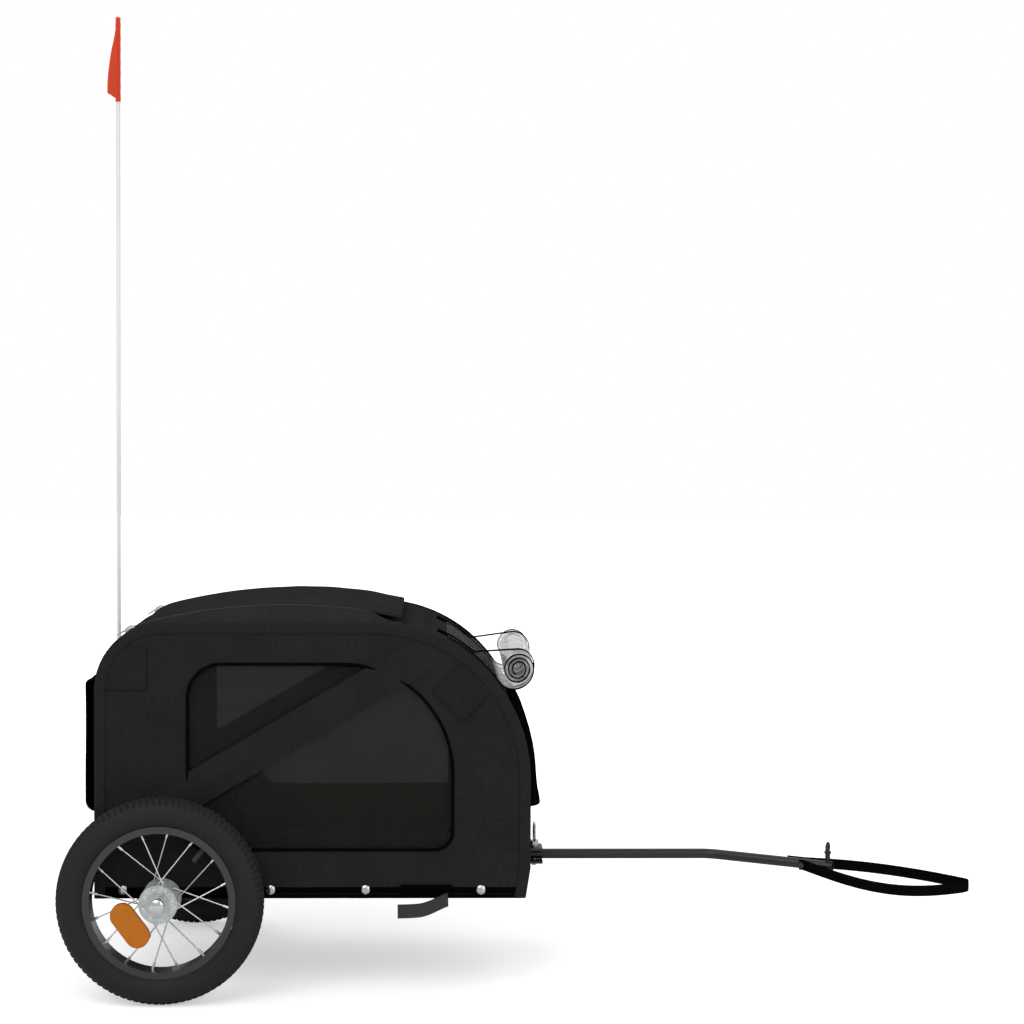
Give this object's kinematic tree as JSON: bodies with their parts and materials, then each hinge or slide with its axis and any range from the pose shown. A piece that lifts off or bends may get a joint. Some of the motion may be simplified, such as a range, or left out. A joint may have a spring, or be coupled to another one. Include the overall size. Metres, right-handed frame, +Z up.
{
  "type": "dog bike trailer",
  "caption": "Folding fabric dog trailer for a bicycle: spoked wheels, mesh windows, lifting flaps, swinging bent tow bar with safety strap, and a flag on a pole.",
  "frame": {"origin": "on the ground, under the middle of the overall box", "axes": "+X forward towards the hitch, +Y to the trailer's left, +Z up"},
  "size_m": [1.3734, 0.5382, 1.499],
  "materials": {
    "tyre_rubber": "matte black rubber",
    "tube_rubber": "matte",
    "rim_black": "satin black",
    "spoke_steel": "bright zinc",
    "hub_steel": "galvanised",
    "button_chrome": "bright",
    "reflector_orange": "clear orange moulding",
    "frame_black": "powder coat",
    "bolt_steel": "zinc plated",
    "bar_steel": "satin grey",
    "board": "matt",
    "cover_fabric": "plain weave",
    "mesh_fabric": "open mesh",
    "webbing_black": "woven tape",
    "clear_sheet": "clear film",
    "pole_white": "white glass fibre",
    "pennant_red": "red-orange cloth"
  },
  "bodies": {
    "chassis": {"right_side_rail": "frame_black", "left_side_rail": "frame_black", "front_cross_tube": "frame_black", "rear_cross_tube": "frame_black", "axle_cross_tube": "frame_black", "axle_sockets": "hub_steel", "floor_board": "board", "floor_mat": "cover_fabric", "hem_rivets": "bolt_steel", "right_stub_axle": "hub_steel", "left_stub_axle": "hub_steel", "tow_receiver": "frame_black", "flag_socket": "board", "hoop_brackets": "frame_black", "hoop_pivot_bolts": "bolt_steel", "right_side_panel": "cover_fabric", "left_side_panel": "cover_fabric", "right_window_mesh": "mesh_fabric", "left_window_mesh": "mesh_fabric", "right_binding": "webbing_black", "left_binding": "webbing_black", "rear_wall": "cover_fabric", "roof_panel": "cover_fabric", "front_wall": "cover_fabric", "rolled_cover": "clear_sheet", "roll_straps": "webbing_black", "zip_sliders": "bolt_steel", "webbing_tail": "webbing_black"},
    "rear_hoop": {"rear_hoop": "frame_black"},
    "front_hoop": {"front_hoop": "frame_black"},
    "tow_bar": {"tow_bar": "bar_steel", "safety_strap": "webbing_black", "strap_rivet": "bolt_steel"},
    "tow_pin": {"tow_bar_pin": "bolt_steel"},
    "hitch_pin": {"hitch_pin": "bolt_steel"},
    "flag": {"flag_pole": "pole_white", "flag_pennant": "pennant_red"},
    "roof_flap": {"roof_flap": "cover_fabric"},
    "front_flap": {"front_flap": "cover_fabric"},
    "rear_flap": {"rear_flap": "cover_fabric"},
    "right_wheel": {"right_tyre": "tyre_rubber", "right_inner_tube": "tube_rubber", "right_rim": "rim_black", "right_spokes": "spoke_steel", "right_hub": "hub_steel", "right_bearings": "hub_steel", "right_reflector": "reflector_orange"},
    "right_button": {"right_release_button": "button_chrome"},
    "left_wheel": {"left_tyre": "tyre_rubber", "left_inner_tube": "tube_rubber", "left_rim": "rim_black", "left_spokes": "spoke_steel", "left_hub": "hub_steel", "left_bearings": "hub_steel", "left_reflector": "reflector_orange"},
    "left_button": {"left_release_button": "button_chrome"}
  },
  "joints": [
    {"name": "front_hoop_fold", "type": "hinge", "parent": "chassis", "child": "front_hoop", "pos_m": [-0.61966, 0, 0.22257], "axis": [0, 1, 0], "range_deg": [0, 28], "deforming": ["right_side_panel", "left_side_panel", "right_window_mesh", "left_window_mesh", "right_binding", "left_binding", "rear_wall", "roof_panel", "front_wall", "rolled_cover", "roll_straps", "zip_sliders"]},
    {"name": "rear_hoop_fold", "type": "hinge", "parent": "chassis", "child": "rear_hoop", "pos_m": [-0.61966, 0, 0.191], "axis": [0, 1, 0], "range_deg": [0, 80]},
    {"name": "roof_flap_lift", "type": "hinge", "parent": "chassis", "child": "roof_flap", "pos_m": [-0.58865, 0, 0.53668], "axis": [0, 1, 0], "range_deg": [-110, 0]},
    {"name": "front_flap_lift", "type": "hinge", "parent": "chassis", "child": "front_flap", "pos_m": [-0.02908, 0, 0.42518], "axis": [0, 1, 0], "range_deg": [-70, 0]},
    {"name": "rear_flap_lift", "type": "hinge", "parent": "chassis", "child": "rear_flap", "pos_m": [-0.63596, 0, 0.459], "axis": [0, 1, 0], "range_deg": [0, 100]},
    {"name": "tow_bar_swing", "type": "hinge", "parent": "chassis", "child": "tow_bar", "pos_m": [0.02434, 0.15, 0.1335], "axis": [0, 0, 1], "range_deg": [-80, 0]},
    {"name": "tow_pin_pull", "type": "slide", "parent": "chassis", "child": "tow_pin", "axis": [0, 0, 1], "range_m": [0, 0.035]},
    {"name": "hitch_pin_push", "type": "slide", "parent": "tow_bar", "child": "hitch_pin", "axis": [0, 0, 1], "range_m": [-0.0122, 0]},
    {"name": "flag_lift", "type": "slide", "parent": "chassis", "child": "flag", "axis": [0, 0, 1], "range_m": [0, 0.06]},
    {"name": "right_wheel_spin", "type": "hinge", "parent": "chassis", "child": "right_wheel", "pos_m": [-0.53666, -0.229, 0.15], "axis": [0, 1, 0], "continuous": true},
    {"name": "right_button_press", "type": "slide", "parent": "chassis", "child": "right_button", "axis": [0, 1, 0], "range_m": [0, 0.0035], "stiffness_N_per_m": 400},
    {"name": "left_wheel_spin", "type": "hinge", "parent": "chassis", "child": "left_wheel", "pos_m": [-0.53666, 0.229, 0.15], "axis": [0, 1, 0], "continuous": true},
    {"name": "left_button_press", "type": "slide", "parent": "chassis", "child": "left_button", "axis": [0, -1, 0], "range_m": [0, 0.0035], "stiffness_N_per_m": 400}
  ],
  "couplings": [
    {"joint": "rear_hoop_fold", "follows": "front_hoop_fold", "ratio": 2.8571}
  ]
}
